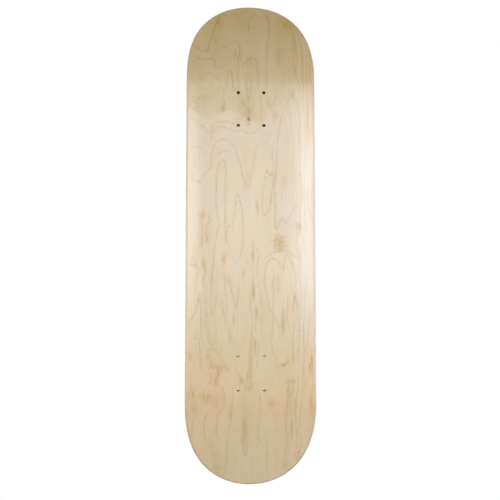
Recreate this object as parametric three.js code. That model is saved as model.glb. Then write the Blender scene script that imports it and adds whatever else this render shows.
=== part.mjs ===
// A seven-ply maple skateboard deck, in millimetres, +Z up.
// It lies as it is ridden: the nose points to +Y and the face that the rider stands on is up.
// The origin is on the bottom face, midway between the two groups of truck holes.

import * as THREE from 'three';
import { toCreasedNormals } from 'three/addons/utils/BufferGeometryUtils.js';

// Outline of the deck
const deckWidth = 209.55;
const wheelbase = 368.3;
const noseLength = 171.45;
const tailLength = 165.1;

// Where the outline starts to narrow, past the outer holes, and how full the rounded end is
const noseTaperSetback = 31.5;
const tailTaperSetback = 20;
const noseFullness = 2.63;
const tailFullness = 2.66;

// Truck holes: wheelbase is the distance between the two inner rows of holes
const holeSpacingAcross = 41.275;
const holeSpacingAlong = 53.975;
const holeDiameter = 5.56;

// Kicks: the upturned nose and tail, measured on the bottom face
const kickSetback = 14;
const bendRadius = 130;
const noseKickAngle = 21;
const tailKickAngle = 20;

// Concave: the sides curve up from a flat strip that seats the trucks
const flatStripWidth = 56;
const concaveDepth = 9.5;
const tipConcaveShare = 0.35;

// Lay-up and edge
const veneerThickness = 1.5;
const glueThickness = 0.1;
const edgeRadius = 4;

// Fineness of the surfaces
const holeMargin = 10;
const leastRowGap = 2;
const leastEdgeStep = 0.2;
const holeSides = 12;
const concaveSteps = 3;
const taperSteps = 9;
const edgeSteps = 3;
const creaseAngle = Math.PI / 6;

// Colours of the wood and glue, from the face and from the rim
const faceMaple = { color: 0xefe3c8, roughness: 0.42 };
const coreMaple = { color: 0xe3cfa6, roughness: 0.55 };
const crossMaple = { color: 0xc5a576, roughness: 0.65 };
const curedGlue = { color: 0x9a7442, roughness: 0.4 };

// The seven veneers, from the bottom face up
const veneers = [
  { name: 'bottom_face_veneer', finish: faceMaple },
  { name: 'lower_core_veneer', finish: coreMaple },
  { name: 'lower_crossband_veneer', finish: crossMaple },
  { name: 'middle_core_veneer', finish: coreMaple },
  { name: 'upper_crossband_veneer', finish: crossMaple },
  { name: 'upper_core_veneer', finish: coreMaple },
  { name: 'top_face_veneer', finish: faceMaple },
];

// Sizes worked out from the ones above
const glueCount = veneers.length - 1;
const deckThickness = veneers.length * veneerThickness + glueCount * glueThickness;
const halfWidth = deckWidth / 2;
const innerHole = wheelbase / 2;
const outerHole = innerHole + holeSpacingAlong;
const bendStart = outerHole + kickSetback;
const holeRadius = holeDiameter / 2;
const seatStart = innerHole - holeRadius - holeMargin;
const roundOver = Math.min(edgeRadius, deckThickness / 2);
const flatHalf = flatStripWidth / 2;
const slopeWidth = halfWidth - flatHalf;
const concaveRadius = (slopeWidth ** 2 + concaveDepth ** 2) / (2 * concaveDepth);
const seatHalf = Math.max(flatHalf, holeSpacingAcross / 2 + holeRadius + holeMargin / 2);

// The two ends: side is +1 at the nose and -1 at the tail
const nose = makeEnd(1, noseLength, noseTaperSetback, noseFullness, noseKickAngle);
const tail = makeEnd(-1, tailLength, tailTaperSetback, tailFullness, tailKickAngle);

function makeEnd(side, length, taperSetback, fullness, kickAngle) {
  const seatEnd = outerHole + Math.min(kickSetback, taperSetback);
  const taperStart = outerHole + taperSetback;
  const taperLength = length - taperSetback;
  const bendAngle = THREE.MathUtils.degToRad(kickAngle);
  return { side, tip: outerHole + length, seatEnd, taperStart, taperLength, fullness, bendAngle };
}

// Rows across one end: straight ones round the truck holes, then ones that curve with the tip
function endRows(end) {
  const rows = [];
  for (const along of [seatStart, (innerHole + outerHole) / 2, end.seatEnd]) {
    rows.push({ end, along, taper: 0 });
  }
  for (let step = 0; step <= taperSteps; step += 1) {
    if (step > 0 || end.taperStart > end.seatEnd + leastRowGap) {
      rows.push({ end, along: end.taperStart, taper: step / taperSteps });
    }
  }
  return rows;
}

// All rows from the tip of the tail to the tip of the nose
const rows = [...endRows(tail).reverse(), ...endRows(nose)];

// Columns along the deck, as shares of the half width, from the left rim to the right
function columnShares() {
  const seatShare = seatHalf / halfWidth;
  const shares = [0];
  for (let step = 0; step <= concaveSteps; step += 1) {
    shares.push(THREE.MathUtils.lerp(seatShare, 1, step / concaveSteps));
  }
  const left = shares.slice(1).reverse().map((share) => -share);
  return [...left, ...shares];
}
const columns = columnShares();

// How far the rounded edge draws the outline in, at a height above the bottom face
function edgeInset(height) {
  const depth = Math.max(0, Math.min(height, deckThickness - height));
  const above = Math.max(0, roundOver - depth);
  return roundOver - Math.sqrt(roundOver ** 2 - above ** 2);
}

// Outline of the deck: where a row and a column share meet, in from the rim by the inset.
// Past the taper start, the square grid is drawn round to fill the rounded end.
function planPoint(row, share, inset) {
  const { end, along, taper } = row;
  const narrowing = Math.sqrt(1 - taper ** end.fullness / 2);
  const reach = taper * (1 - share ** 2 / 2) ** (1 / end.fullness);
  return {
    end,
    across: share * narrowing * (halfWidth - inset),
    along: along + reach * (end.taperLength - inset),
  };
}

// Height of a layer above the bottom face's flat, where the sides curve up
function concaveHeight(end, across, along, height) {
  const fade = THREE.MathUtils.smoothstep(along, bendStart, end.tip);
  const share = THREE.MathUtils.lerp(1, tipConcaveShare, fade);
  const slope = Math.max(0, Math.abs(across) - flatHalf);
  const rise = concaveRadius - Math.sqrt((concaveRadius - height) ** 2 - slope ** 2);
  return height + share * (rise - height);
}

// The finished board: a point of the plan, at a height in the lay-up, bent up with the kick
function deckPoint(point, height) {
  const { end, across, along } = point;
  const lift = concaveHeight(end, across, along, height);
  const past = Math.max(0, along - bendStart);
  const angle = Math.min(past / bendRadius, end.bendAngle);
  const straight = past - bendRadius * angle;
  const sine = Math.sin(angle);
  const cosine = Math.cos(angle);
  const reach = along - past + bendRadius * sine + straight * cosine - lift * sine;
  const rise = bendRadius * (1 - cosine) + straight * sine + lift * cosine;
  return new THREE.Vector3(across, end.side * reach, rise);
}

// The ring of plan points round one truck hole, anticlockwise seen from above
function holeRing(end, side, along) {
  const ring = [];
  for (let step = 0; step < holeSides; step += 1) {
    const turn = ((step + 1 / 2) / holeSides) * 2 * Math.PI;
    const across = side * (holeSpacingAcross / 2) + holeRadius * Math.cos(turn);
    ring.push({ end, across, along: along + end.side * holeRadius * Math.sin(turn) });
  }
  return ring;
}

// The truck hole inside the cell between two rows and two columns, if there is one
function holeInCell(lower, upper, left, right) {
  if (lower.end !== upper.end || left * right !== 0) {
    return null;
  }
  const side = Math.sign(left + right);
  const low = Math.min(lower.along, upper.along);
  const high = Math.max(lower.along, upper.along);
  const along = [innerHole, outerHole].find((place) => place > low && place < high);
  return along === undefined ? null : holeRing(lower.end, side, along);
}

// Seen from above: a plan point as x and y, for cutting a cell round its hole
function flatPoint(point) {
  return new THREE.Vector2(point.across, point.end.side * point.along);
}

// One face of a layer, as triangles of points that face up
function layerFace(height) {
  const inset = edgeInset(height);
  const triangles = [];
  const place = (point) => deckPoint(point, height);
  for (let row = 0; row + 1 < rows.length; row += 1) {
    for (let column = 0; column + 1 < columns.length; column += 1) {
      const left = columns[column];
      const right = columns[column + 1];
      const corners = [
        planPoint(rows[row], left, inset),
        planPoint(rows[row], right, inset),
        planPoint(rows[row + 1], right, inset),
        planPoint(rows[row + 1], left, inset),
      ];
      const ring = holeInCell(rows[row], rows[row + 1], left, right);
      triangles.push(...cellTriangles(corners, ring, left < 0, place));
    }
  }
  return triangles;
}

// The triangles of one cell, cut round its hole if it has one
function cellTriangles(corners, ring, mirrored, place) {
  const order = mirrored ? [[0, 1, 2], [0, 2, 3]] : [[0, 1, 3], [1, 2, 3]];
  const outline = corners.map(flatPoint);
  const faces = ring ? THREE.ShapeUtils.triangulateShape(outline, [ring.map(flatPoint)]) : order;
  const points = ring ? [...corners, ...ring] : corners;
  return faces.map((face) => face.map((index) => place(points[index])));
}

// The rim of the deck at one height, anticlockwise seen from above
function rimLoop(height) {
  const inset = edgeInset(height);
  const across = columns.slice(1, -1);
  const plan = [
    ...rows.map((row) => planPoint(row, 1, inset)),
    ...across.map((share) => planPoint(rows.at(-1), -share, inset)),
    ...rows.map((row) => planPoint(row, -1, inset)).reverse(),
    ...across.map((share) => planPoint(rows[0], share, inset)),
  ];
  return plan.map((point) => deckPoint(point, height));
}

// A wall between two closed loops of points, facing right of the way that the loops run
function wallBetween(lowLoop, highLoop) {
  const triangles = [];
  lowLoop.forEach((low, index) => {
    const next = (index + 1) % lowLoop.length;
    triangles.push([low, lowLoop[next], highLoop[next]]);
    triangles.push([low, highLoop[next], highLoop[index]]);
  });
  return triangles;
}

// Heights of the steps that round the rim of one layer, from its lower face to its upper face
function edgeHeights(low, high) {
  const steps = [];
  for (let step = 1; step <= edgeSteps; step += 1) {
    const depth = roundOver * (1 - Math.cos((step / edgeSteps) * (Math.PI / 2)));
    steps.push(depth, deckThickness - depth);
  }
  steps.sort((a, b) => a - b);
  const heights = [low];
  for (const height of steps) {
    if (height > heights.at(-1) + leastEdgeStep && height < high - leastEdgeStep) {
      heights.push(height);
    }
  }
  return [...heights, high];
}

// The walls of the eight truck holes through one layer
function holeWalls(low, high) {
  const triangles = [];
  for (const end of [nose, tail]) {
    for (const along of [innerHole, outerHole]) {
      for (const side of [-1, 1]) {
        const ring = holeRing(end, side, along).reverse();
        const lowLoop = ring.map((point) => deckPoint(point, low));
        const highLoop = ring.map((point) => deckPoint(point, high));
        triangles.push(...wallBetween(lowLoop, highLoop));
      }
    }
  }
  return triangles;
}

// One layer of the lay-up as a closed solid between two heights
function layerGeometry(low, high) {
  const triangles = layerFace(high);
  triangles.push(...layerFace(low).map((corners) => corners.reverse()));
  const heights = edgeHeights(low, high);
  for (let step = 0; step + 1 < heights.length; step += 1) {
    triangles.push(...wallBetween(rimLoop(heights[step]), rimLoop(heights[step + 1])));
  }
  triangles.push(...holeWalls(low, high));
  const geometry = new THREE.BufferGeometry().setFromPoints(triangles.flat());
  return toCreasedNormals(geometry, creaseAngle);
}

// One layer as a named mesh of its own material
function makeLayer(name, low, high, finish) {
  const material = new THREE.MeshStandardMaterial({ ...finish, metalness: 0 });
  const mesh = new THREE.Mesh(layerGeometry(low, high), material);
  mesh.name = name;
  return mesh;
}

// The deck: seven veneers with a glue line between each two
function makeDeck() {
  const deck = new THREE.Group();
  deck.name = 'skateboard_deck';
  const pitch = veneerThickness + glueThickness;
  veneers.forEach(({ name, finish }, index) => {
    const low = index * pitch;
    const high = low + veneerThickness;
    deck.add(makeLayer(name, low, high, finish));
    if (index < glueCount) {
      deck.add(makeLayer(`glue_line_${index + 1}`, high, (index + 1) * pitch, curedGlue));
    }
  });
  return deck;
}

export default makeDeck();
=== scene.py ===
# %% [markdown]
# # A maple skateboard deck, pressed from seven veneers
#
# A deck starts as a stack of flat maple veneers with glue between them. A press bends the
# stack over a mould, which gives the concave and the two kicks. Then it is drilled, sawn to
# its outline, routed round the rim, sanded and coated with a clear satin finish.
# This lesson follows that order, and builds each veneer and each glue line as its own piece.

# %% Load the frame and keep the size of the solid model
import math

import bpy
import numpy as np
from mathutils import Matrix, Vector, kdtree


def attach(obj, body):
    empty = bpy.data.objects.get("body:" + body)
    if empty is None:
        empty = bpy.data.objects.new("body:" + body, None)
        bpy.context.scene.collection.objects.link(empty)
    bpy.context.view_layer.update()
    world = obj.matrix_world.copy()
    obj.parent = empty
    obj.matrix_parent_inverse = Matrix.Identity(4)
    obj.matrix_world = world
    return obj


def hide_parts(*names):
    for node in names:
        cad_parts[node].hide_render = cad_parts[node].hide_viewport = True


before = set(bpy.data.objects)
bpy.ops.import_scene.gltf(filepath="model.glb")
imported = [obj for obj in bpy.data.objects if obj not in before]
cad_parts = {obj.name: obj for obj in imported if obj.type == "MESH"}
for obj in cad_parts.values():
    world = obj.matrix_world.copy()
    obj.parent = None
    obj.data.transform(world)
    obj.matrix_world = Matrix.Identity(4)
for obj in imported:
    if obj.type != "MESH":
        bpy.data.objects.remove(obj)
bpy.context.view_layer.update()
print("nodes in the frame:", sorted(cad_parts))

# %% [markdown]
# The deck hangs on the sizes that a maker writes on the drawing, and all the rest is worked
# out from them, in metres. The nose, towards +Y, and the tail differ a little in length, angle
# and roundness, so each gets its own set of values.

# %% Sizes of the deck
MM = 0.001

deck_width = 209.55 * MM
wheelbase = 368.3 * MM
hole_spacing_across = 41.275 * MM
hole_spacing_along = 53.975 * MM
hole_diameter = 5.56 * MM

flat_strip_width = 56 * MM
concave_depth = 9.5 * MM
tip_concave_share = 0.35
kick_setback = 14 * MM
bend_radius = 130 * MM

veneer_thickness = 1.5 * MM
glue_thickness = 0.1 * MM
veneer_count = 7
edge_radius = 4 * MM

half_width = deck_width / 2
flat_half = flat_strip_width / 2
inner_hole = wheelbase / 2
outer_hole = inner_hole + hole_spacing_along
bend_start = outer_hole + kick_setback
deck_thickness = veneer_count * veneer_thickness + (veneer_count - 1) * glue_thickness
slope_width = half_width - flat_half
concave_radius = (slope_width**2 + concave_depth**2) / (2 * concave_depth)


# %% The two ends of the board
def make_end(length, taper_setback, fullness, kick_angle):
    """One end: where it tapers, how full its outline is, and how far it is kicked up."""
    return {
        "tip": outer_hole + length,
        "taper_start": outer_hole + taper_setback,
        "taper_length": length - taper_setback,
        "fullness": fullness,
        "kick_angle": math.radians(kick_angle),
    }


nose = make_end(length=171.45 * MM, taper_setback=31.5 * MM, fullness=2.63, kick_angle=21)
tail = make_end(length=165.1 * MM, taper_setback=20 * MM, fullness=2.66, kick_angle=20)
print("length along the board:", round(nose["tip"] + tail["tip"], 5), "m")

# %% [markdown]
# Two formulas give the whole form. The first draws the outline on the flat stack: a rounded
# end is a square pushed out to a full curve, so the same rows and columns of mesh run from
# the middle to the rim without meeting in a point. The second presses the flat stack into
# shape: it lifts the sides, and then rolls each end up round its bend. Every layer passes
# through both, so the veneers follow each other exactly, as they do in the press.


# %% Outline on the flat stack
def edge_inset(height):
    """How far the routed round-over has cut the rim back at a height in the stack."""
    depth = max(0, min(height, deck_thickness - height))
    above = max(0, edge_radius - depth)
    return edge_radius - math.sqrt(edge_radius**2 - above**2)


def of_the_end(along, key):
    """A size of the nose or of the tail, for points on either side of the middle."""
    return np.where(along >= 0, nose[key], tail[key])


def plan_points(row_along, row_taper, shares, inset):
    """Across and along of points on the flat stack; shares run from -1 to 1 over the width."""
    fullness = of_the_end(row_along, "fullness")
    narrowing = np.sqrt(1 - row_taper**fullness / 2)
    roundness = (1 - shares**2 / 2) ** (1 / fullness)
    edge_pull = np.clip((np.abs(shares) - flat_half / half_width) / (1 - flat_half / half_width), 0, 1)
    across = narrowing * (shares * half_width - np.sign(shares) * edge_pull * inset)
    reach = row_taper * roundness * (of_the_end(row_along, "taper_length") - inset)
    return across, row_along + np.sign(row_along) * reach


# %% The press: concave and kicks
def press(across, along, height):
    """Moves points of the flat stack to their place in the pressed deck."""
    side = np.sign(along)
    far = np.abs(along)
    fade = np.clip((far - bend_start) / (of_the_end(along, "tip") - bend_start), 0, 1)
    fade = fade * fade * (3 - 2 * fade)
    concave_share = 1 + (tip_concave_share - 1) * fade
    slope = np.maximum(0, np.abs(across) - flat_half)
    rise = concave_radius - np.sqrt((concave_radius - height) ** 2 - slope**2)
    lift = height + concave_share * (rise - height)
    past = np.maximum(0, far - bend_start)
    angle = np.minimum(past / bend_radius, of_the_end(along, "kick_angle"))
    straight = past - bend_radius * angle
    reach = far - past + bend_radius * np.sin(angle) + straight * np.cos(angle)
    reach = reach - lift * np.sin(angle)
    up = bend_radius * (1 - np.cos(angle)) + straight * np.sin(angle) + lift * np.cos(angle)
    return np.stack([across, side * reach, up], axis=-1)


# %% [markdown]
# The mesh of a layer is a net of near-square cells. The two face veneers carry the figure of
# the wood on their vertices, so their cells are small. The layers between them show only at
# the rim and in the holes, so cells twice that size are enough. A Boolean cut could drill the
# holes, but it leaves thin, uneven faces. So the net has lines on both sides of each hole, and
# a small block of cells is lifted out there and drilled.

# %% Rows and columns of the net
fine_cell = 2.75 * MM
coarse_cell = 2 * fine_cell
block_half = 2 * fine_cell


def even_steps(stops, cell):
    """Values that run through all the stops in steps of about one cell."""
    values = [stops[0]]
    for start, end in zip(stops, stops[1:]):
        count = max(1, round((end - start) / cell))
        values += [start + (end - start) * step / count for step in range(1, count + 1)]
    return values


def net_columns(cell):
    """Shares of the half width, with a column on each side of the hole blocks."""
    hole = hole_spacing_across / 2
    stops = [hole - block_half, hole + block_half, half_width]
    stops = [-stop for stop in reversed(stops)] + stops
    return np.array(even_steps(stops, cell)) / half_width


def net_rows(cell):
    """The place along the board and the taper of each row, from the tail to the nose."""
    near_holes = [hole + side * block_half for hole in (inner_hole, outer_hole) for side in (-1, 1)]
    before = [-stop for stop in reversed(near_holes)]
    straight = even_steps([-tail["taper_start"], *before, *near_holes, nose["taper_start"]], cell)
    nose_tapers = even_steps([0, 1], cell / nose["taper_length"])[1:]
    tail_tapers = even_steps([0, 1], cell / tail["taper_length"])[1:]
    along = straight[:1] * len(tail_tapers) + straight + straight[-1:] * len(nose_tapers)
    tapers = tail_tapers[::-1] + [0] * len(straight) + nose_tapers
    return np.array(along)[:, None], np.array(tapers)[:, None]


def surface_plan(rows, columns, height):
    """The net at one height in the stack, still flat."""
    across, along = plan_points(rows[0], rows[1], columns[None, :], edge_inset(height))
    return np.stack([across, along, np.full(across.shape, height)], axis=-1)


print("rows and columns of a face veneer:", len(net_rows(fine_cell)[0]), len(net_columns(fine_cell)))

# %% [markdown]
# A veneer is closed on all sides: a lower and an upper surface, a wall round the rim that
# follows the round-over in a few steps, and a round wall in each hole. Where a block of cells
# was lifted out, each edge of the block is joined to its own stretch of the drilled circle.

# %% Holes in the net
hole_sides = 32
hole_centres = [
    (side * hole_spacing_across / 2, end * along)
    for end in (-1, 1)
    for along in (inner_hole, outer_hole)
    for side in (-1, 1)
]
block_reach = 1.01 * block_half
first_corner_turn = -3 * np.pi / 4


def block_of(columns, rows, centre):
    """The first and last row and column of the block of cells round one hole."""
    along = rows[0][:, 0]
    straight = rows[1][:, 0] == 0
    near_row = straight & (np.abs(along - centre[1]) < block_reach)
    near_column = np.abs(columns * half_width - centre[0]) < block_reach
    return (*np.flatnonzero(near_row)[[0, -1]], *np.flatnonzero(near_column)[[0, -1]])


def walk_round(first_row, last_row, first_column, last_column):
    """The steps round a rectangle of the net, anticlockwise seen from above, corner first."""
    path = [(first_row, column) for column in range(first_column, last_column)]
    path += [(row, last_column) for row in range(first_row, last_row)]
    path += [(last_row, column) for column in range(last_column, first_column, -1)]
    path += [(row, first_column) for row in range(last_row, first_row, -1)]
    return path


def drilled_ring(centre, height):
    """The edge of one hole at one height, starting at the corner where the block's walk does."""
    turn = 2 * np.pi * np.arange(hole_sides) / hole_sides + first_corner_turn
    across = centre[0] + hole_diameter / 2 * np.cos(turn)
    along = centre[1] + hole_diameter / 2 * np.sin(turn)
    return np.stack([across, along, np.full(hole_sides, height)], axis=-1)


# %% One surface of a layer
def add_surface(mesh, rows, columns, height, faces_up):
    """One surface of a layer. Returns its outer loop and the loops of its holes."""
    plan = surface_plan(rows, columns, height)
    row_count, column_count = plan.shape[:2]
    keep = np.ones((row_count, column_count), bool)
    cell_kept = np.ones((row_count - 1, column_count - 1), bool)
    blocks = [block_of(columns, rows, centre) for centre in hole_centres]
    for first_row, last_row, first_column, last_column in blocks:
        keep[first_row + 1 : last_row, first_column + 1 : last_column] = False
        cell_kept[first_row:last_row, first_column:last_column] = False
    number = np.full((row_count, column_count), -1)
    number[keep] = len(mesh["plan"]) + np.arange(keep.sum())
    mesh["plan"].extend(plan[keep])
    cells = np.stack([number[:-1, :-1], number[:-1, 1:], number[1:, 1:], number[1:, :-1]], axis=-1)
    cells = cells[cell_kept].tolist()
    holes = []
    for centre, block in zip(hole_centres, blocks):
        path = [int(number[step]) for step in walk_round(*block)]
        ring = list(range(len(mesh["plan"]), len(mesh["plan"]) + hole_sides))
        mesh["plan"].extend(drilled_ring(centre, height))
        stretch = hole_sides // len(path)
        for step, corner in enumerate(path):
            arc = [ring[(step * stretch + k) % hole_sides] for k in range(stretch, -1, -1)]
            cells.append([corner, path[(step + 1) % len(path)], *arc])
        holes.append(ring)
    mesh["faces"].extend(cells if faces_up else [cell[::-1] for cell in cells])
    rim = [int(number[step]) for step in walk_round(0, row_count - 1, 0, column_count - 1)]
    return rim, holes


# %% Walls of a layer
def add_wall(mesh, low_loop, high_loop):
    """Joins two loops that run anticlockwise, with the faces looking outwards."""
    for step, corner in enumerate(low_loop):
        after = (step + 1) % len(low_loop)
        mesh["faces"].append([corner, low_loop[after], high_loop[after], high_loop[step]])


def rim_heights(low, high, turn_step):
    """Heights between the surfaces of a layer where the wall follows the round-over."""
    turns = np.arange(turn_step, np.pi / 2, turn_step)
    depths = edge_radius * (1 - np.cos(turns))
    heights = [*depths, edge_radius, deck_thickness - edge_radius, *(deck_thickness - depths)]
    return sorted(height for height in heights if low + glue_thickness < height < high - glue_thickness)


def closed_layer(low, high, cell, turn_step):
    """Points and faces of one layer, still flat, and the number of faces outside the holes."""
    rows, columns = net_rows(cell), net_columns(cell)
    mesh = {"plan": [], "faces": []}
    low_rim, low_holes = add_surface(mesh, rows, columns, low, False)
    high_rim, high_holes = add_surface(mesh, rows, columns, high, True)
    loops = [low_rim]
    for height in rim_heights(low, high, turn_step):
        plan = surface_plan(rows, columns, height)
        path = walk_round(0, plan.shape[0] - 1, 0, plan.shape[1] - 1)
        loops.append(list(range(len(mesh["plan"]), len(mesh["plan"]) + len(path))))
        mesh["plan"].extend(plan[step] for step in path)
    loops.append(high_rim)
    for lower, upper in zip(loops, loops[1:]):
        add_wall(mesh, lower, upper)
    outside_faces = len(mesh["faces"])
    for lower, upper in zip(low_holes, high_holes):
        add_wall(mesh, lower[::-1], upper[::-1])
    return np.array(mesh["plan"]), mesh["faces"], outside_faces


# %% Press one layer
sharp_edge_angle = math.radians(40)


def add_object(name, data):
    """A new object in the scene that holds this mesh, lamp or camera."""
    thing = bpy.data.objects.new(name, data)
    bpy.context.scene.collection.objects.link(thing)
    return thing


def write_vectors(data, name, values):
    """Stores one vector for each point of a mesh."""
    layer = data.attributes.new(name, "FLOAT_VECTOR", "POINT")
    layer.data.foreach_set("vector", np.array(values, np.float32).ravel())


def build_layer(name, low, high, cell, turn_step):
    """One veneer or glue line, pressed to shape, with its place on the flat stack stored."""
    plan, faces, outside_faces = closed_layer(low, high, cell, turn_step)
    data = bpy.data.meshes.new(name)
    data.from_pydata(press(*plan.T), [], faces)
    in_a_hole = [int(face >= outside_faces) for face in range(len(faces))]
    data.polygons.foreach_set("material_index", in_a_hole)
    data.shade_smooth()
    data.set_sharp_from_angle(angle=sharp_edge_angle)
    write_vectors(data, "flat_stack", plan)
    return add_object(name, data)


# %% [markdown]
# The lay-up has seven veneers with six glue lines between them. The third and the fifth
# veneer are crossbands: their grain runs across the deck and stops it from splitting.
# A loop walks up the stack and builds each layer at its own height.

# %% The lay-up, from the bottom face up
lay_up = [
    ("bottom_face_veneer", "bottom_face_maple"),
    ("lower_core_veneer", "core_maple"),
    ("lower_crossband_veneer", "crossband_maple"),
    ("middle_core_veneer", "core_maple"),
    ("upper_crossband_veneer", "crossband_maple"),
    ("upper_core_veneer", "core_maple"),
    ("top_face_veneer", "top_face_maple"),
]
# Size of the cells, and the turn between two steps of the round-over.
face_net = (fine_cell, math.radians(10))
core_net = (coarse_cell, math.radians(20))

layers = []
low = 0
for order, (node, finish) in enumerate(lay_up):
    if order > 0:
        layers.append((f"glue_line_{order}", "cured_glue", low, low + glue_thickness, *core_net))
        low += glue_thickness
    net = face_net if order in (0, veneer_count - 1) else core_net
    layers.append((node, finish, low, low + veneer_thickness, *net))
    low += veneer_thickness

pieces = {}
for node, finish, low, high, cell, turn_step in layers:
    ending = "film" if finish == "cured_glue" else "wood"
    piece = build_layer(f"{node}_{ending}", low, high, cell, turn_step)
    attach(piece, "root")
    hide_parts(node)
    pieces[node] = piece
    print(f"{piece.name}: {len(piece.data.vertices)} points, {len(piece.data.polygons)} faces")

# %% [markdown]
# The photograph looks straight at the bottom face from about 1.2 m, a touch towards the tail
# and to one side. The deck lies here as it is ridden, so the camera stands below it and looks
# up, with the nose at the top of the picture. The lamps are aimed later by the same helper.

# %% Camera
camera_place = (0.052823, -0.104288, -1.194420)
camera_aim = (0.001773, -0.017440, 0)
lens_length = 54.06
sensor_width = 36
nearest_seen = 10 * MM


def aimed(place, aim):
    """The pose of something that stands at a place and looks at its aim, nose upwards."""
    front = (Vector(aim) - Vector(place)).normalized()
    side = front.cross(Vector((0, 1, 0))).normalized()
    turn = Matrix((side, side.cross(front), -front)).transposed().to_4x4()
    return Matrix.Translation(place) @ turn


camera = add_object("camera", bpy.data.cameras.new("camera"))
camera.data.lens = lens_length
camera.data.sensor_width = sensor_width
camera.data.clip_start = nearest_seen
camera.matrix_world = aimed(camera_place, camera_aim)
bpy.context.scene.camera = camera
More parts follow.
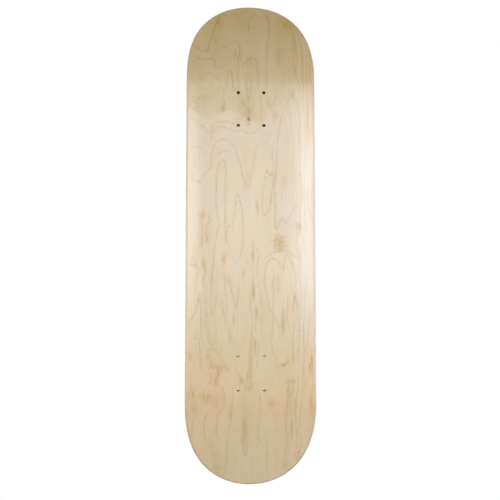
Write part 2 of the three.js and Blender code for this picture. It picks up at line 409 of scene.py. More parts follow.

# %% [markdown]
# The figure of the bottom face is what makes this board this board: cathedral arches, long
# loops and a few knots, where the peeled veneer cuts through the growth rings at a slant.
# Each growth line is drawn as a few points, as one would draw it with a pencil, in
# millimetres as seen in the picture: to the right, and towards the nose from the middle of
# the board. A smooth curve through the points does the rest. Noise alone would draw rings of
# wood, but not these ones.

# %% Growth lines of the bottom face
strong = 1.0
plain = 0.8
faint = 0.72
growth_lines = [
    (strong, [(-94, 330), (-88, 323), (-81, 315), (-71, 316), (-68, 329), (-63, 349), (-57, 370),
              (-51, 378)]),
    (strong, [(-91, 305), (-84, 299), (-73, 298), (-61, 295), (-58, 283), (-50, 279), (-46, 284)]),
    (plain, [(-86, 275), (-80, 261), (-73, 269), (-62, 269), (-56, 261), (-50, 264)]),
    (plain, [(-35, 326), (-28, 334), (-19, 321), (-18, 302), (-14, 280), (-10, 289), (-2, 299), (7, 297),
             (11, 270), (11, 245)]),
    (faint, [(-28, 317), (-28, 295), (-23, 270), (-20, 240)]),
    (strong, [(-39, 245), (-38, 261), (-33, 276), (-31, 262), (-30, 244)]),
    (faint, [(-4, 376), (-2, 369), (-2, 355)]),
    (strong, [(26, 395), (30, 379), (31, 358), (28, 333), (25, 309), (24, 278), (25, 244)]),
    (plain, [(73, 352), (75, 304), (72, 272), (78, 255), (78, 240)]),
    (faint, [(84, 329), (86, 262), (86, 240)]),
    (plain, [(-9, 268), (-8, 251), (-6, 234), (-3, 227), (-1, 237), (1, 251), (0, 265)]),
    (faint, [(15, 242), (15, 193)]),
    (plain, [(-98, 213), (-84, 206), (-76, 198), (-64, 196), (-51, 204), (-39, 210)]),
    (faint, [(-98, 225), (-87, 221), (-87, 214), (-96, 216)]),
    (strong, [(-88, 187), (-75, 180), (-68, 170), (-58, 188), (-43, 190), (-31, 188), (-27, 182)]),
    (strong, [(-67, 157), (-59, 177), (-52, 182), (-36, 178), (-24, 172), (-14, 176), (-3, 170), (6, 173),
              (17, 182)]),
    (plain, [(-99, 146), (-83, 149), (-74, 139), (-66, 152)]),
    (strong, [(-64, 130), (-59, 150), (-51, 159), (-36, 158), (-24, 143), (-15, 108), (-9, 82)]),
    (faint, [(-56, 135), (-45, 141), (-34, 138)]),
    (strong, [(-59, -73), (-61, -57), (-58, -15), (-52, 25), (-56, 60), (-56, 85), (-53, 115), (-46, 126),
              (-42, 116), (-42, 60), (-42, 7), (-39, -7), (-38, 14), (-34, 22), (-30, 12), (-27, 30),
              (-23, 72), (-16, 50), (-13, 10), (-14, -10), (-18, -32)]),
    (plain, [(-65, 125), (-67, 114), (-76, 105), (-82, 94)]),
    (faint, [(-98, 112), (-94, 98), (-88, 92)]),
    (plain, [(14, 159), (8, 147), (3, 118), (-3, 90), (-2, 78)]),
    (plain, [(11, 163), (19, 157), (26, 158), (32, 175)]),
    (strong, [(51, 207), (46, 183), (41, 150), (40, 112), (37, 82), (39, 50), (38, 18), (44, 20), (50, 33),
              (55, 25), (66, 43), (71, 52), (77, 50)]),
    (plain, [(68, 237), (75, 217), (79, 190), (79, 150)]),
    (faint, [(61, 237), (58, 217), (59, 200)]),
    (strong, [(22, 90), (26, 111), (30, 100), (36, 108), (33, 70), (27, 45), (21, 40), (18, 57), (22, 90)]),
    (faint, [(49, 77), (50, 64), (52, 73)]),
    (strong, [(-79, 44), (-80, 31), (-79, 12), (-79, -1), (-81, -14)]),
    (strong, [(-75, 39), (-66, 34), (-69, 26), (-73, 16), (-73, 5), (-69, -8)]),
    (strong, [(22, -30), (36, -22), (54, -18), (66, -26), (79, -30)]),
    (strong, [(21, -77), (23, -50), (31, -33), (41, -34), (51, -49), (55, -28), (61, -30), (71, -55),
              (71, -77)]),
    (strong, [(34, -78), (37, -63), (42, -61), (45, -77)]),
    (plain, [(3, -3), (2, -23), (4, -33)]),
    (plain, [(6, -10), (11, -25), (9, -50), (12, -77)]),
    (plain, [(-43, -47), (-42, -77), (-39, -120)]),
    (faint, [(-98, -30), (-94, -29), (-91, -38)]),
    (plain, [(-75, -55), (-74, -133), (-66, -167), (-51, -182)]),
    (plain, [(-64, -52), (-64, -112), (-60, -118), (-53, -92), (-46, -105), (-40, -142)]),
    (strong, [(-2, -80), (-1, -113), (1, -128), (-1, -178), (-2, -212), (1, -237)]),
    (plain, [(-81, -85), (-88, -113), (-97, -130), (-99, -140)]),
    (faint, [(-80, -103), (-79, -137)]),
    (strong, [(-34, -70), (-28, -97), (-24, -115), (-20, -90), (-20, -75)]),
    (plain, [(12, -80), (17, -105), (17, -137)]),
    (faint, [(21, -70), (26, -100), (28, -118)]),
    (plain, [(27, -107), (39, -128), (47, -152)]),
    (plain, [(35, -70), (35, -120), (32, -160), (34, -183)]),
    (strong, [(71, -87), (67, -103), (67, -122)]),
    (plain, [(71, -97), (73, -115), (67, -150), (67, -203)]),
    (faint, [(76, -95), (77, -128), (74, -187)]),
    (faint, [(86, -112), (83, -160), (85, -237)]),
    (faint, [(97, -110), (92, -145), (87, -187)]),
    (plain, [(-96, -162), (-89, -158), (-82, -166), (-81, -203)]),
    (plain, [(-24, -210), (-15, -225), (-3, -238)]),
    (plain, [(46, -203), (54, -199), (61, -190)]),
    (strong, [(-56, -230), (-45, -238), (-43, -262), (-52, -279), (-55, -300), (-54, -320)]),
    (plain, [(-66, -270), (-75, -292), (-72, -330)]),
    (plain, [(-29, -230), (-30, -262), (-38, -323), (-39, -357), (-41, -380)]),
    (strong, [(-11, -283), (-13, -302), (-14, -324), (-8, -352), (-4, -319), (-7, -298), (-10, -283)]),
    (plain, [(13, -243), (14, -277), (10, -310), (14, -323), (22, -315), (26, -340), (26, -370),
             (28, -393)]),
    (plain, [(58, -230), (55, -285), (57, -317), (56, -352)]),
    (plain, [(84, -230), (79, -277), (74, -323), (74, -337)]),
    (strong, [(8, 64), (10, 54), (13, 41)]),
    (strong, [(3, -14), (3, -34)]),
    (strong, [(4, -70), (4, -84), (5, -98)]),
    (strong, [(8, -108), (9, -129)]),
    (strong, [(-44, -26), (-43, -40)]),
    (plain, [(5, -155), (6, -171)]),
    (faint, [(-50, 383), (-44, 391), (-37, 386), (-31, 390), (-24, 392), (-19, 396)]),
    (faint, [(-12, 387), (-7, 381), (0, 384), (5, 382), (4, 388), (11, 394)]),
    (strong, [(-4, 378), (-5, 374), (-4, 366), (-4, 354)]),
    (faint, [(-62, 346), (-57, 338), (-59, 332), (-55, 323)]),
    (faint, [(-51, 323), (-41, 322), (-33, 330)]),
    (plain, [(-26, 317), (-25, 305), (-21, 295), (-21, 273), (-20, 244)]),
    (plain, [(-56, 241), (-49, 248), (-44, 240), (-46, 229), (-43, 220), (-48, 209)]),
    (plain, [(39, 233), (36, 221), (31, 214), (38, 202)]),
    (faint, [(26, 232), (29, 218), (32, 209)]),
    (faint, [(72, 354), (70, 312), (70, 273)]),
    (faint, [(-18, 228), (-13, 220), (-5, 209), (-3, 197)]),
    (plain, [(-3, -158), (-4, -193), (-6, -212), (-6, -223), (-3, -237)]),
    (faint, [(16, -106), (16, -138), (17, -163)]),
    (plain, [(49, -155), (51, -140), (53, -123), (50, -110)]),
    (faint, [(-71, -73), (-71, -116), (-69, -144), (-65, -163), (-57, -176)]),
    (faint, [(-43, -73), (-40, -93), (-38, -108), (-39, -127), (-34, -148)]),
    (plain, [(-72, -174), (-57, -178), (-51, -187), (-43, -199), (-38, -205)]),
    (faint, [(-68, -189), (-64, -193), (-65, -202), (-69, -210)]),
    (plain, [(-73, -216), (-66, -212), (-64, -219), (-67, -229), (-72, -226)]),
    (faint, [(-54, -206), (-51, -213), (-56, -221), (-55, -229)]),
    (plain, [(-45, -232), (-44, -242), (-43, -252)]),
    (plain, [(-24, -210), (-21, -212), (-18, -220), (-15, -226)]),
    (plain, [(45, -200), (51, -200), (58, -196), (63, -188)]),
    (faint, [(40, -203), (44, -216), (49, -213)]),
    (plain, [(58, -221), (59, -236), (58, -253)]),
    (plain, [(62, -226), (66, -226), (71, -226)]),
    (faint, [(32, -151), (32, -166), (35, -181), (38, -193)]),
    (faint, [(75, -99), (76, -129), (75, -164), (74, -202)]),
    (strong, [(95, -181), (97, -194), (93, -203), (96, -213)]),
    (faint, [(9, -73), (13, -86), (16, -106)]),
    (faint, [(-81, -95), (-80, -129), (-81, -163)]),
    (plain, [(-82, -247), (-76, -252), (-70, -259), (-64, -253), (-63, -248), (-72, -243)]),
    (strong, [(-92, -242), (-93, -253)]),
    (plain, [(65, -291), (64, -304), (65, -317)]),
    (faint, [(71, -252), (70, -283), (74, -326), (73, -355)]),
    (faint, [(40, -349), (42, -378)]),
    (plain, [(-9, 112), (-7, 99), (-7, 82)]),
    (plain, [(66, 31), (71, 25), (79, 23), (77, 12), (74, 2)]),
    (plain, [(-13, -48), (-12, -62)]),
    (strong, [(-96, -30), (-98, -40), (-93, -43), (-89, -40), (-86, -48)]),
    (strong, [(-78, -33), (-74, -51), (-77, -65), (-75, -84)]),
    (faint, [(76, 185), (78, 159), (79, 97), (84, 64)]),
    (faint, [(36, 161), (34, 138), (36, 115)]),
    (faint, [(-32, 150), (-25, 144), (-22, 131)]),
    (plain, [(37, 3), (43, 6), (49, 3), (55, 5)]),
    (strong, [(36, -5), (42, -2), (48, -6), (56, -3)]),
    (strong, [(38, -12), (44, -9), (50, -13), (56, -10)]),
    (plain, [(40, -19), (46, -17), (52, -20)]),
    (strong, [(3, -61), (1, -72), (3, -81), (2, -96)]),
    (plain, [(5, -102), (6, -116), (6, -132), (7, -149)]),
    (strong, [(5, -159), (4, -170), (6, -179), (4, -189)]),
    (plain, [(11, -160), (12, -174), (10, -192), (8, -207)]),
    (plain, [(-40, -61), (-34, -75), (-32, -88), (-30, -103)]),
    (faint, [(-89, -72), (-85, -59), (-82, -49)]),
    (plain, [(50, -116), (48, -129), (49, -145)]),
    (faint, [(57, -88), (58, -110), (56, -135)]),
]


# %% [markdown]
# The shader has to know how far each point of the face is from the nearest growth line, and
# on which side. One number can't serve two lines that run close together, so the lines are
# shared out among a few sets, and the mesh stores the distances for each set on its own.

# %% From drawn points to a smooth line
sample_step = 0.8
end_fade = 9.0
end_strength_share = 0.25


def smooth_line(points):
    """Points every sample_step along a curve through the drawn points, in millimetres."""
    points = [Vector(point) for point in points]
    padded = [2 * points[0] - points[1], *points, 2 * points[-1] - points[-2]]
    line = []
    for before, start, end, after in zip(padded, padded[1:], padded[2:], padded[3:]):
        count = max(2, round((end - start).length / sample_step))
        slope = end - before
        bend = 2 * before - 5 * start + 4 * end - after
        turn = 3 * start - before - 3 * end + after
        for step in range(count):
            share = step / count
            line.append(start + (slope + (bend + turn * share) * share) * share / 2)
    line.append(points[-1])
    return line


def line_samples(strength, points):
    """Place, direction and strength along one growth line; the strength fades at its ends."""
    line = smooth_line(points)
    samples = []
    for step, place in enumerate(line):
        direction = line[min(step + 1, len(line) - 1)] - line[max(step - 1, 0)]
        from_end = min(step, len(line) - 1 - step) * sample_step
        fade = min(1, end_strength_share + from_end / end_fade)
        samples.append((place, direction.normalized(), strength * fade))
    return samples


# %% Sets of lines that keep apart
line_gap = 8.5


def tree_of(samples):
    """A search tree over the places of samples."""
    tree = kdtree.KDTree(len(samples))
    for index, (place, *rest) in enumerate(samples):
        tree.insert(place.to_3d(), index)
    tree.balance()
    return tree


def sort_into_sets(lines):
    """Shares the lines out among a few sets, so that no two lines of a set run close together."""
    sets = []
    for strength, points in lines:
        samples = line_samples(strength, points)
        for members in sets:
            tree = tree_of(members)
            if min(tree.find(place.to_3d())[2] for place, *rest in samples) > line_gap:
                members.extend(samples)
                break
        else:
            sets.append(samples)
    return sets


ring_sets = sort_into_sets(growth_lines)
print("sets of growth lines:", len(ring_sets), "with", [len(samples) for samples in ring_sets], "samples")

# %% Distances stored on the bottom face
near_reach = 2.0
far_reach = 5.0


def picture_points(piece):
    """Each point of a piece as in the picture: to the right and towards the nose, in millimetres."""
    plan = np.zeros(len(piece.data.vertices) * 3, np.float32)
    piece.data.attributes["flat_stack"].data.foreach_get("vector", plan)
    plan = plan.reshape(-1, 3) / MM
    return np.stack([-plan[:, 0], plan[:, 1]], axis=-1)


bottom_face = pieces["bottom_face_veneer"]
bottom_points = picture_points(bottom_face)
for order, samples in enumerate(ring_sets):
    tree = tree_of(samples)
    values = []
    for point in bottom_points:
        place = Vector(point)
        index, distance = tree.find(place.to_3d())[1:]
        line_place, direction, strength = samples[index]
        offset = place - line_place
        side = direction.x * offset.y - direction.y * offset.x
        near = min(1, max(0, (far_reach - distance) / (far_reach - near_reach)))
        values.append((side, near, strength))
    write_vectors(bottom_face.data, f"rings_{order}", values)

# %% [markdown]
# Maple also has soft patches of colour: orange and pink flame where the grain dives, and olive
# to brown mineral streaks. Each is a long soft ellipse, again placed as in the picture.
# The shader breaks them up into fibres later, so that their edges don't look drawn. Beyond one
# curved growth line the wood of the nose is darker, and that zone has an edge of its own.

# %% Patches of colour on the bottom face
# Place in the picture, half width, half length and strength of each.
orange_patches = [
    (-52, 376, 6, 18, 0.6), (60, 375, 16, 22, 0.55), (-1, 293, 6, 10, 0.5), (45, 304, 4, 22, 0.6),
    (-80, 230, 18, 5, 0.45), (-46, 213, 6, 7, 0.7), (39, 201, 5, 8, 0.8), (68, 237, 4, 7, 0.6),
    (92, 187, 4, 30, 0.55), (54, 95, 5, 10, 0.5), (-65, 120, 5, 8, 0.55), (10, 52, 2.5, 14, 0.9),
    (-78, 40, 5, 7, 0.7), (-79, 5, 4, 14, 0.6), (-70, 5, 3, 12, 0.6), (3, -24, 2, 11, 0.8),
    (-44, -32, 3, 9, 0.9), (-76, -40, 4, 11, 0.6), (-36, -66, 4, 9, 0.7), (-13, -55, 3, 8, 0.5),
    (4, -82, 3, 16, 0.9), (-81, -95, 4, 8, 0.6), (9, -119, 3, 12, 0.7), (51, -130, 4, 20, 0.6),
    (-34, -155, 3, 12, 0.6), (6, -167, 3, 13, 0.8), (96, -204, 3, 13, 0.9), (-98, -186, 5, 8, 0.8),
    (-45, -205, 9, 5, 0.9), (-61, -201, 8, 4, 0.7), (-53, -213, 6, 6, 0.7), (-16, -223, 4, 7, 0.8),
    (-5, -237, 6, 4, 0.6), (51, -200, 7, 3, 0.8), (60, -192, 3, 5, 0.7), (65, -226, 7, 4, 0.7),
    (-51, -254, 7, 14, 0.5), (-89, -269, 9, 14, 0.4), (32, -259, 8, 6, 0.45), (98, -266, 4, 14, 0.9),
    (-33, -272, 4, 12, 0.8), (-10, -310, 4, 24, 0.8),
    (-94, -307, 4, 16, 0.5), (-58, -348, 5, 9, 0.5), (76, -350, 5, 9, 0.5), (57, -367, 6, 9, 0.5),
    (-54, -373, 6, 9, 0.5), (-5, 204, 9, 10, 1.0), (46, -5, 12, 15, 0.7), (-4, 187, 4, 5, 0.9),
]
olive_patches = [
    (-27, -128, 3, 10, 0.6), (-67, -186, 6, 7, 0.6), (65, -309, 4, 17, 0.5), (77, 20, 5, 8, 0.5),
    (-93, -244, 3, 10, 0.7), (-72, -251, 10, 8, 0.8), (-57, -226, 6, 6, 0.6), (63, -255, 5, 20, 0.4),
    (-63, -330, 4, 8, 0.5), (71, -95, 3, 7, 0.7),
    (-10, 221, 12, 12, 0.45), (41, -77, 4, 12, 0.5), (-19, 196, 8, 5, 0.35), (0, -200, 3, 22, 0.5),
]
dark_zone_edge = [
    (-105, 214), (-84, 206), (-70, 196), (-50, 204), (-38, 209), (-4, 193), (20, 182), (34, 200), (60, 218),
]
edge_softens_across = (10, 60)
edge_softness = (3, 50)
zone_length = 40
zone_fade = 110


def patch_strength(patches, points):
    """How strongly a list of patches colours each point."""
    total = np.zeros(len(points))
    for x, s, half_across, half_along, strength in patches:
        reach = ((points[:, 0] - x) / half_across) ** 2 + ((points[:, 1] - s) / half_along) ** 2
        total += strength * np.exp(-reach)
    return total


def zone_strength(points):
    """The wood is darker beyond one growth line, and pales again towards the nose."""
    edge_across, edge_along = np.array(dark_zone_edge, float).T
    beyond = points[:, 1] - np.interp(points[:, 0], edge_across, edge_along)
    softness = np.interp(points[:, 0], edge_softens_across, edge_softness)
    return np.clip(beyond / softness, 0, 1) * np.clip(1 - (beyond - zone_length) / zone_fade, 0, 1)


strengths = [patch_strength(patches, bottom_points) for patches in (orange_patches, olive_patches)]
strengths.append(zone_strength(bottom_points))
write_vectors(bottom_face.data, "colour_patches", np.stack(strengths, axis=-1))

# %% [markdown]
# All the woods share one recipe. The place on the flat stack drives every texture, so the
# grain runs with the veneer round the bends. A picture of wood would be quicker, but it blurs
# close up and bends wrongly at the kicks. So fine fibres, wider streaks and a slow drift of
# colour come from noise stretched along the grain, and small dark flecks are the rays and
# pores of maple.
#
# Short helpers keep it readable. A grain is written as its waves a metre across and along the
# board, the detail and roughness of its noise, and a seed that sets it apart. A ramp is where
# it starts and ends, and what it gives there, which is 0 and 1 unless it says otherwise.


# %% Helpers for nodes
def fill(node, inputs):
    """Sets or links the inputs of a node."""
    for key, value in inputs.items():
        if isinstance(value, bpy.types.NodeSocket):
            node.id_data.links.new(value, node.inputs[key])
        else:
            node.inputs[key].default_value = value


def put(kind, output, inputs, tree=None, **settings):
    """Adds a node to a tree, or else beside its first linked input, and returns one output."""
    linked = [value for value in inputs.values() if isinstance(value, bpy.types.NodeSocket)]
    made = (tree or linked[0].id_data).nodes.new(f"ShaderNode{kind}")
    for key, value in settings.items():
        setattr(made, key, value)
    fill(made, inputs)
    return made.outputs[output]


def remap(value, low, high, to_low=0, to_high=1):
    """Sends a value through a ramp, and holds it inside."""
    ramp = {"Value": value, "From Min": low, "From Max": high, "To Min": to_low, "To Max": to_high}
    return put("MapRange", "Result", ramp)


def combine(operation, first, second=0):
    """One sum with one or two values."""
    return put("Math", "Value", {0: first, 1: second}, operation=operation)


def product(first, *others):
    """Values multiplied together."""
    for other in others:
        first = combine("MULTIPLY", first, other)
    return first


def length_of(vector):
    """The length of a vector."""
    return put("VectorMath", "Value", {0: vector}, operation="LENGTH")


def parts_of(vector):
    """The X, Y and Z of a vector: across, along and height for a place on the flat stack."""
    return put("SeparateXYZ", "X", {"Vector": vector}).node.outputs[:]


def tint(colour, shade, amount):
    """Multiplies a colour by a shade, as far as amount says."""
    inputs = {"Factor": amount, "A": colour, "B": shade}
    return put("Mix", "Result", inputs, data_type="RGBA", blend_type="MULTIPLY")


def noise_of(place, grain, seed=0.0):
    """The noise of one grain, from 0 to 1."""
    across, along, detail, roughness, own_seed = grain
    shift = (seed + own_seed, seed + own_seed, 0)
    stretch = {"Vector": place, "Scale": (across, along, across), "Location": shift}
    look = {"Scale": 1.0, "Detail": detail, "Roughness": roughness}
    return put("TexNoise", "Fac", {"Vector": put("Mapping", "Vector", stretch), **look})


def uneven(place, grain, *ramp):
    """The noise of one grain, sent through a ramp."""
    return remap(noise_of(place, grain), *ramp)


# %% Shared wood recipe
# For each layer: its grain, its shade, where in the noise it starts and is full, and how far.
wood_layers = {
    "drift": ((22, 7, 2, 0.5, 0), (0.95, 0.94, 0.90, 1), 0.40, 0.65, 1),
    "warmth": ((45, 12, 2, 0.5, 3), (1.0, 0.965, 0.93, 1), 0.42, 0.65, 1),
    "streaks": ((190, 5, 3, 0.6, 7), (0.972, 0.96, 0.94, 1), 0.52, 0.80, 1),
    "fibres": ((1100, 22, 3, 0.65, 11), (0.955, 0.945, 0.93, 1), 0.48, 0.85, 1),
    "flecks": ((1500, 190, 1, 0.5, 17), (0.70, 0.58, 0.45, 1), 0.68, 0.76, 0.6),
    "mottle": ((260, 120, 2, 0.5, 23), (0.97, 0.965, 0.945, 1), 0.45, 0.70, 1),
}
coat_ramp = (0.35, 0.65, 0.266, 0.274)
coat_gloss = 0.5
fibre_relief = {"Strength": 0.06, "Distance": 0.2 * MM}


def new_material(name):
    """A material with only its surface shader, and that shader."""
    material = bpy.data.materials.new(name)
    material.use_nodes = True
    return material, material.node_tree.nodes["Principled BSDF"]


def stored(tree, name):
    """A vector stored on the points of the mesh."""
    return put("Attribute", "Vector", {}, tree, attribute_name=name)


def grained(place, colour, grain_layers, seed):
    """A colour tinted with each layer of grain, and the noise of each."""
    noises = {}
    for name, (grain, shade, start, full, strength) in grain_layers.items():
        noises[name] = noise_of(place, grain, seed)
        colour = tint(colour, shade, remap(noises[name], start, full, 0, strength))
    return colour, noises


def satin_wood(name, colour, grain_layers, seed, figure=None):
    """A grained and figured wood under a satin coat that the fibres just show through."""
    material, wood = new_material(name)
    place = stored(material.node_tree, "flat_stack")
    colour, noises = grained(place, colour, grain_layers, seed)
    if figure:
        colour = figure(place, colour)
    relief = put("Bump", "Normal", {"Height": noises["fibres"], **fibre_relief})
    coat = {"Roughness": remap(noises["streaks"], *coat_ramp), "Specular IOR Level": coat_gloss}
    fill(wood, {"Base Color": colour, "Normal": relief, **coat})
    return material


# %% [markdown]
# On the bottom face the growth lines, patches and knots are laid over that recipe. A growth
# line is sharp on one side, where the tree stopped growing in autumn, and soft on the other,
# so a row of stops gives its depth across. Noise makes it wander and break a little.

# %% Depth of the growth lines
line_shade = (0.77, 0.66, 0.53, 1)
line_stops = [
    (0.20, 0.0), (0.26, 0.20), (0.31, 0.0), (0.42, 0.0), (0.47, 0.40), (0.50, 1.0),
    (0.54, 0.55), (0.64, 0.24), (0.76, 0.14), (0.80, 0.26), (0.86, 0.08), (0.97, 0.0),
]
# Each wander: its grain, and how many millimetres it goes to either side.
wanders = [((75, 32, 2, 0.5, 5), 1.6), ((300, 170, 2, 0.6, 6), 1.9)]
line_breaks = ((60, 34, 3, 0.6, 9), 0.32, 0.62, 0.40, 1.15)
nose_depth = (0.20, 0.28, 0.95, 1.15)


def line_profile(side, wander):
    """How dark a growth line is at a signed distance from it, in millimetres."""
    placed = combine("ADD", side, wander)
    ramp = put("ValToRGB", "Color", {"Fac": remap(placed, -far_reach, far_reach)})
    elements = ramp.node.color_ramp.elements
    while len(elements) < len(line_stops):
        elements.new(1.0)
    for element, (position, depth) in zip(elements, line_stops):
        element.position = position
        element.color = (depth, depth, depth, 1)
    return ramp


def growth_line_depth(place):
    """How dark the growth lines are, all sets together."""
    wander = 0.0
    for grain, reach in wanders:
        wander = combine("ADD", wander, uneven(place, grain, 0, 1, -reach, reach))
    lines = 0.0
    for order in range(len(ring_sets)):
        side, near, strength = parts_of(stored(place.id_data, f"rings_{order}"))
        lines = combine("MAXIMUM", lines, product(line_profile(side, wander), near, strength))
    return product(lines, uneven(place, *line_breaks), remap(parts_of(place)[1], *nose_depth))


# %% [markdown]
# Near the long edges the veneer shows straight grain: close, even lines, plainest at the right
# of the picture. They come from the place across, divided by their gap, so each line darkens
# slowly and ends sharply.

# %% Straight grain beside the edges
side_line_gap = 7.5 * MM
side_drift = ((18, 5, 2, 0.5, 61), 0.25, 0.75, -14 * MM, 14 * MM)
side_darkening = (0.45, 0.93)
side_ending = (0.93, 1.0, 1, 0)
side_breaks = ((60, 9, 3, 0.6, 64), 0.38, 0.62, 0.05, 0.42)
picture_right = (-48 * MM, -72 * MM)
picture_left = (66 * MM, 90 * MM, 0, 0.7)
tail_half = (0.02, -0.05)


def side_lines(place):
    """The straight grain near the edges, which drifts a little."""
    across, along = parts_of(place)[:2]
    drifted = combine("ADD", across, uneven(place, *side_drift))
    phase = combine("FRACT", combine("DIVIDE", drifted, side_line_gap))
    depth = product(remap(phase, *side_darkening), remap(phase, *side_ending))
    left = product(remap(across, *picture_left), remap(along, *tail_half))
    where = combine("ADD", remap(across, *picture_right), left)
    return product(depth, where, uneven(place, *side_breaks))


# %% [markdown]
# A knot is a ring pattern: a sine wave of the distance from its middle, made ragged by noise,
# round a dark heart. The first is a pin knot between the nose holes. The wide one is the burl,
# whose heart is too small to see.

# %% Knots
# Place in the picture, half width, half length, size of the dark heart and number of rings.
knots = [
    ((-4, 195), 3.4, 5.5, 0.42, 0.8),
    ((45, -8), 12, 15, 0.02, 3.0),
    ((76, 21), 5, 7, 0.02, 1.6),
    ((-83, 93), 4, 5, 0.02, 1.2),
]
swirl_shade = (0.88, 0.81, 0.63, 1)
heart_shade = (0.52, 0.39, 0.24, 1)
ragged_edge = ((210, 230, 3, 0.6, 27), 0.25, 0.75, -0.45, 0.45)
ring_ramp = (-0.3, 0.9, 0.25, 1.2)
knot_edge = (0.55, 1.1, 1, 0)
heart_inner_share = 0.6
heart_outer_share = 1.2
least_heart_reach = 0.05


def ellipse_reach(place, picture_place, half_across, half_along):
    """How far a place is from the middle of an ellipse, which is given as in the picture."""
    x, s = picture_place
    offset = put("VectorMath", "Vector", {0: place, 1: (-x * MM, s * MM, 0)}, operation="SUBTRACT")
    scale = (1 / (half_across * MM), 1 / (half_along * MM), 0)
    return length_of(put("VectorMath", "Vector", {0: offset, 1: scale}, operation="MULTIPLY"))


def knot_pattern(place, picture_place, half_across, half_along, heart_size, ring_count):
    """The dark heart of a knot and the broken rings round it."""
    reach = ellipse_reach(place, picture_place, half_across, half_along)
    reach = combine("ADD", reach, uneven(place, *ragged_edge))
    wave = combine("SINE", combine("MULTIPLY", reach, ring_count * 2 * math.pi))
    rings = product(remap(wave, *ring_ramp), remap(reach, *knot_edge))
    heart = combine("MAXIMUM", reach, least_heart_reach)
    return remap(heart, heart_inner_share * heart_size, heart_outer_share * heart_size, 1, 0), rings


# %% [markdown]
# Whole regions differ too, and part of that is painted light. The wood is warm but for a paler,
# pinker right edge and a pink cloud beside the burl, which are partly its tone and partly a
# painted sheen. It is yellower at the nose and greener at the tail, and both ends are also
# darkened as painted shade. At the tips the router cuts the fibres across, and such end grain is
# greyer; the grey there is partly painted shade along the outline. From below only the first
# third of a millimetre of the round-over shows there, so the shade sets in almost at the face.

# %% Regions of the bottom face
warm_shade = (1.0, 0.945, 0.82, 1)
# The nose and tail shades are partly tone and partly painted shade of the ends.
nose_tone_and_painted_shade = (0.885, 0.80, 0.575, 1)
tail_tone_and_painted_shade = (0.945, 0.875, 0.745, 1)
# The grey of the tip rim is partly end grain and partly painted shade of the outline.
end_grain_and_painted_rim_shade = (0.60, 0.64, 0.72, 1)
nose_ramp = (0.20, 0.36)
tail_ramp = (-0.05, -0.25)
tip_ramp = (0.22, 0.36)
routed_ramp = (0.03 * MM, 0.3 * MM)
# The pink edge and cloud are partly the wood's tone and partly a painted sheen.
pink_and_painted_sheen_edge = (-70 * MM, -92 * MM)
pink_and_painted_sheen_nose_end = (0.17, 0.12)
pink_and_painted_sheen_tail_end = (-0.27, -0.12)
pink_and_painted_sheen_cloud = ((58, 38), 33.3, 71.4)
pink_and_painted_sheen_cloud_ramp = (0, 1, 0.6, 0)


def region_shades(place, colour):
    """The warm wood and the paler pink edge with its painted sheen, the nose and the tail with their
    painted shade, and the end grain of the tips greyed with painted shade.
    """
    across, along, height = parts_of(place)
    edge = product(remap(across, *pink_and_painted_sheen_edge), remap(along, *pink_and_painted_sheen_nose_end), remap(along, *pink_and_painted_sheen_tail_end))
    cloud = remap(ellipse_reach(place, *pink_and_painted_sheen_cloud), *pink_and_painted_sheen_cloud_ramp)
    # Outside the pink edge and cloud the wood stays warm; their paleness is partly painted sheen.
    colour = tint(colour, warm_shade, combine("SUBTRACT", 1, combine("MAXIMUM", edge, cloud)))
    # The ends darken partly as painted shade.
    colour = tint(colour, nose_tone_and_painted_shade, remap(along, *nose_ramp))
    colour = tint(colour, tail_tone_and_painted_shade, remap(along, *tail_ramp))
    # The tip rim greys partly as painted shade.
    at_a_tip = remap(combine("ABSOLUTE", along), *tip_ramp)
    return tint(colour, end_grain_and_painted_rim_shade, product(remap(height, *routed_ramp), at_a_tip))


# %% Figure of the bottom face
orange_shade = (0.905, 0.785, 0.645, 1)
olive_shade = (0.84, 0.78, 0.62, 1)
zone_shade = (0.955, 0.905, 0.80, 1)
torn_fibres = ((300, 40, 3, 0.65, 31), 0.36, 0.64, 0.35, 1.75)


def bottom_figure(place, colour):
    """The figured face of the photograph."""
    orange, olive, zone = parts_of(stored(place.id_data, "colour_patches"))
    torn = uneven(place, *torn_fibres)
    colour = tint(colour, orange_shade, product(orange, torn))
    colour = tint(colour, olive_shade, product(olive, torn))
    colour = tint(colour, zone_shade, zone)
    colour = tint(colour, line_shade, growth_line_depth(place))
    colour = tint(colour, line_shade, side_lines(place))
    for knot in knots:
        heart, swirl = knot_pattern(place, *knot)
        colour = tint(colour, swirl_shade, swirl)
        colour = tint(colour, heart_shade, heart)
    return region_shades(place, colour)


# %% [markdown]
# The photograph doesn't show the top face, so it gets the quiet figure that such a veneer has:
# contour lines of a slow hill of noise, stretched along the board. That is what the growth
# rings are on a peeled veneer. The core and crossband veneers show only as stripes at the rim.

# %% Figure of the top face
hill_grain = (12, 1.7, 2, 0.4, 50)
rings_up_the_hill = 13
ring_wobble = ((120, 45, 3, 0.6, 55), 0.3, 0.7, -0.12, 0.12)
ring_darkening = (0.72, 1.0)
ring_ending = (0.965, 1.0, 1, 0)
ring_breaks = ((60, 14, 3, 0.6, 58), 0.35, 0.62, 0.2, 0.75)


def top_figure(place, colour):
    """Wide arches of a made-up figure."""
    hill = combine("MULTIPLY", noise_of(place, hill_grain), rings_up_the_hill)
    ring = combine("FRACT", combine("ADD", hill, uneven(place, *ring_wobble)))
    lines = product(remap(ring, *ring_darkening), remap(ring, *ring_ending), uneven(place, *ring_breaks))
    return tint(colour, line_shade, lines)


# %% Finishes of all the layers
torn_layers = {"torn": ((900, 900, 3, 0.6, 0), (0.4, 0.35, 0.3, 1), 0.4, 0.7, 1)}
torn_roughness = (0.3, 0.7, 0.75, 0.95)
torn_gloss = 0.05


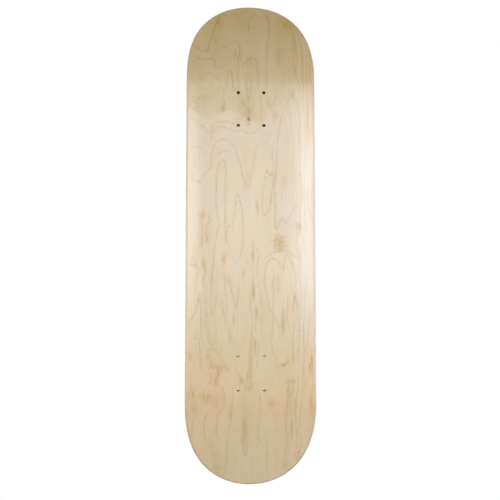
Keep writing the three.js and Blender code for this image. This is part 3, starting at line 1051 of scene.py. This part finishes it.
def rim_layers(across, along):
    """The grain of a layer that shows only at the rim."""
    return {
        "fibres": ((across, along, 3, 0.6, 0), (0.72, 0.62, 0.48, 1), 0.4, 0.75, 1),
        "streaks": ((60, 40, 2, 0.5, 3), (0.85, 0.78, 0.68, 1), 0.4, 0.7, 1),
    }


def drilled_maple(colour, seed):
    """The wall of a hole: torn end grain, browned by the drill and darkened further as painted shade."""
    material, wood = new_material("drilled_maple")
    colour, noises = grained(stored(material.node_tree, "flat_stack"), colour, torn_layers, seed)
    roughness = remap(noises["torn"], *torn_roughness)
    fill(wood, {"Base Color": colour, "Roughness": roughness, "Specular IOR Level": torn_gloss})
    return material


# Colour, layers of grain, seed and figure of each.
woods = {
    "bottom_face_maple": ((0.700, 0.636, 0.547, 1), wood_layers, 0, bottom_figure),
    "top_face_maple": ((0.72, 0.62, 0.46, 1), wood_layers, 40, top_figure),
    # The core veneer's colour is darker than its wood alone, partly as painted shade along the rim outline.
    "core_maple": ((0.46, 0.385, 0.28, 1), rim_layers(900, 30), 60),
    "crossband_maple": ((0.30, 0.20, 0.11, 1), rim_layers(500, 900), 70),
    "cured_glue": ((0.22, 0.12, 0.05, 1), rim_layers(300, 300), 80),
}
finishes = {name: satin_wood(name, *recipe) for name, recipe in woods.items()}
# The hole walls are browned and darkened, partly as painted shade.
drilled_wood = drilled_maple((0.26, 0.15, 0.045, 1), 90)
for node, finish, *rest in layers:
    for material in (finishes[finish], drilled_wood):
        pieces[node].data.materials.append(material)

# %% [markdown]
# The studio has a plain pale floor under the deck and a white world behind it. The photograph
# is taken from below, so the floor is see-through on its underside. It shows only to the
# camera, so that it doesn't keep the lamps from the bottom face. Away from the deck the floor
# turns into the white of the world, so that no horizon shows.

# %% Floor
floor_half = 12.0
floor_grey = (0.80, 0.80, 0.80, 1)
floor_roughness = 0.9
whitening_ramp = (0.8, 1.8)
white = (1, 1, 1, 1)


def flat_sheet(name, half_across, lowest, highest, level):
    """A level rectangle that shows in pictures, while light reaches the deck through it."""
    mesh = bpy.data.meshes.new(name)
    corners = [(-half_across, lowest, level), (half_across, lowest, level)]
    corners += [(half_across, highest, level), (-half_across, highest, level)]
    mesh.from_pydata(corners, [], [[0, 1, 2, 3]])
    sheet = add_object(name, mesh)
    for ray in ("shadow", "diffuse", "glossy", "transmission"):
        setattr(sheet, f"visible_{ray}", False)
    return sheet


def glow(tree, colour):
    """A surface that shows as one plain colour under any light."""
    return put("Emission", "Emission", {"Color": colour}, tree)


def one_sided(material, surface, hidden_side):
    """Makes a material clear on one side: its back, or else its front."""
    tree = material.node_tree
    clear = put("BsdfTransparent", "BSDF", {}, tree)
    sides = {1: surface, 2: clear} if hidden_side == "back" else {1: clear, 2: surface}
    both = put("MixShader", "Shader", {0: put("NewGeometry", "Backfacing", {}, tree), **sides})
    fill(tree.nodes["Material Output"], {"Surface": both})


floor = flat_sheet("floor", floor_half, -floor_half, floor_half, 0)
floor_paint, paint = new_material("pale_floor")
fill(paint, {"Base Color": floor_grey, "Roughness": floor_roughness})
from_middle = length_of(put("TexCoord", "Object", {}, floor_paint.node_tree))
whitening = {0: remap(from_middle, *whitening_ramp), 1: paint.outputs["BSDF"]}
whitening[2] = glow(floor_paint.node_tree, white)
one_sided(floor_paint, put("MixShader", "Shader", whitening), "back")
floor.data.materials.append(floor_paint)

# %% [markdown]
# In the photograph the deck lies on its top face, and the holes show what is behind it. The
# camera looks into the nose holes at a slant, so they are nearly all dark wall, with a thin
# pale strip at the lower edge of the inner pair. Into the tail holes it looks almost straight,
# and pale light fills all but their lower edge. Small cards just over the top face stand for
# that: they glow with painted shade and painted light. They are see-through from above and
# hidden behind the deck from every side.

# %% Cards behind the holes
card_lift = 2.4 * MM
strip_lift = 2 * MM
card_margin = 9 * MM
strip_below_hole = 2.2 * MM
strip_above_hole = 1.2 * MM
dark_shade = (0.115, 0.070, 0.025, 1)
pale_light = (0.66, 0.56, 0.40, 1)


def hole_card(name, lowest, highest, lift, colour):
    """A card over the top face that glows in one plain colour, painted shade for the dark cards and painted
    light for the pale ones, seen only through the holes from below.
    """
    card = flat_sheet(name, hole_spacing_across / 2 + card_margin, lowest, highest, deck_thickness + lift)
    material, surface = new_material(name)
    one_sided(material, glow(material.node_tree, colour), "front")
    card.data.materials.append(material)


near_side = inner_hole - card_margin
far_side = outer_hole + card_margin
hole_card("nose_hole_shade", near_side, far_side, card_lift, dark_shade)
hole_card("tail_hole_shade", -far_side, -near_side, card_lift, dark_shade)
hole_card("inner_nose_hole_light", near_side, inner_hole + strip_above_hole, strip_lift, pale_light)
for name, hole in (("inner", -inner_hole), ("outer", -outer_hole)):
    lowest, highest = hole - strip_below_hole, hole + card_margin
    hole_card(f"{name}_tail_hole_light", lowest, highest, strip_lift, pale_light)

# %% [markdown]
# The world is white to the camera. It lights the deck as a pale room does, full above the
# horizon and nearly dark below it. The lamps come from the shading in the photograph. Its wide
# pale sheen over the middle is a large soft box just beside the camera, and the brighter edges
# are two tall boxes further out, with a painted sheen added at the right edge of the bottom face.
# All three boxes have grids and aim at the tail half. Two wide, weak boxes fill the tail. Two boxes
# level with the deck light the rim, and are kept out of reflections, because they would blaze on
# the curve of the nose. Nothing lights the nose from ahead, and the bottom face has painted shade
# there as well, which is why the kicked nose is the darkest part of the picture.

# %% World
horizon_ramp = (-0.2, 0, 0.02, 1)
white_strength = 1.0

studio = bpy.data.worlds.new("studio")
studio.use_nodes = True
bpy.context.scene.world = studio
tree = studio.node_tree
view_ray = put("LightPath", "Is Camera Ray", {}, tree)
sky_height = parts_of(put("TexCoord", "Generated", {}, tree))[2]
light = {"Factor": view_ray, "A": remap(sky_height, *horizon_ramp), "B": white_strength}
fill(tree.nodes["Background"], {"Color": white, "Strength": put("Mix", "Result", light, data_type="FLOAT")})

# %% Lamps
grid_spread = 110
open_spread = 180


def softbox(name, place, aim, size, brightness, spread=open_spread):
    """A flat lamp that faces its aim. A grid narrows its spread, and makes it brighter ahead."""
    lamp = bpy.data.lights.new(name, "AREA")
    lamp.shape = "RECTANGLE"
    lamp.size, lamp.size_y = size
    lamp.spread = math.radians(spread)
    lamp.energy = brightness * math.pi * lamp.size * lamp.size_y
    holder = add_object(name, lamp)
    holder.matrix_world = aimed(place, aim)
    holder.visible_camera = False
    return holder


softbox("key_box", (-0.125, 0.25, -1.15), (-0.125, -0.3, 0), (1.0, 0.75), 1.09, grid_spread)
softbox("picture_right_box", (-0.86, 0.25, -1.15), (-0.3, -0.3, 0), (0.48, 0.75), 3.4, grid_spread)
softbox("picture_left_box", (0.86, 0.25, -1.15), (0.3, -0.3, 0), (0.48, 0.75), 3.3, grid_spread)
softbox("tail_fill", (0, -1.375, -1.15), (0, -1.375, 0), (2.25, 0.5), 1.16)
softbox("low_tail_fill", (0, -1.5, -0.75), (0, -0.1, 0), (1.6, 0.6), 0.75)
for name, side, brightness in (("picture_right_rim_box", -1, 3.6), ("picture_left_rim_box", 1, 2.9)):
    rim_box = softbox(name, (side * 2.4, 0, 0.25), (0, 0, 0), (0.9, 2.4), brightness)
    rim_box.visible_glossy = False
softbox("overhead_box", (0.5, -0.4, 1.5), (0, 0, 0), (1.2, 1.2), 0.5)

bpy.context.scene.view_settings.view_transform = "Standard"
